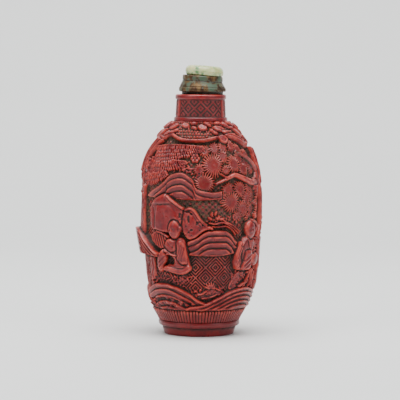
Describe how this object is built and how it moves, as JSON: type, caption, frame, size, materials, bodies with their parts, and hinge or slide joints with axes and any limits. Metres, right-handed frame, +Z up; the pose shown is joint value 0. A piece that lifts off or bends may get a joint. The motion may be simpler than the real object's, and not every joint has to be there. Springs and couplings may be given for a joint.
{
  "type": "snuff bottle",
  "caption": "Small round-bodied bottle with a landscape carved in relief, fluted base, lattice neck and a metal stopper with a stone cap.",
  "frame": {"origin": "middle of the foot's underside, on the surface that the bottle stands on", "axes": "+Z up along the bottle's axis, the carved scene with the seated figure faces -Y, +X to that scene's right"},
  "size_m": [0.0367, 0.0351, 0.0783],
  "materials": {
    "lacquer": "satin",
    "stopper_metal": "matte",
    "jade": "polished"
  },
  "bodies": {
    "root": {"bottle": "lacquer", "collar": "stopper_metal", "jade_cap": "jade"}
  },
  "joints": []
}
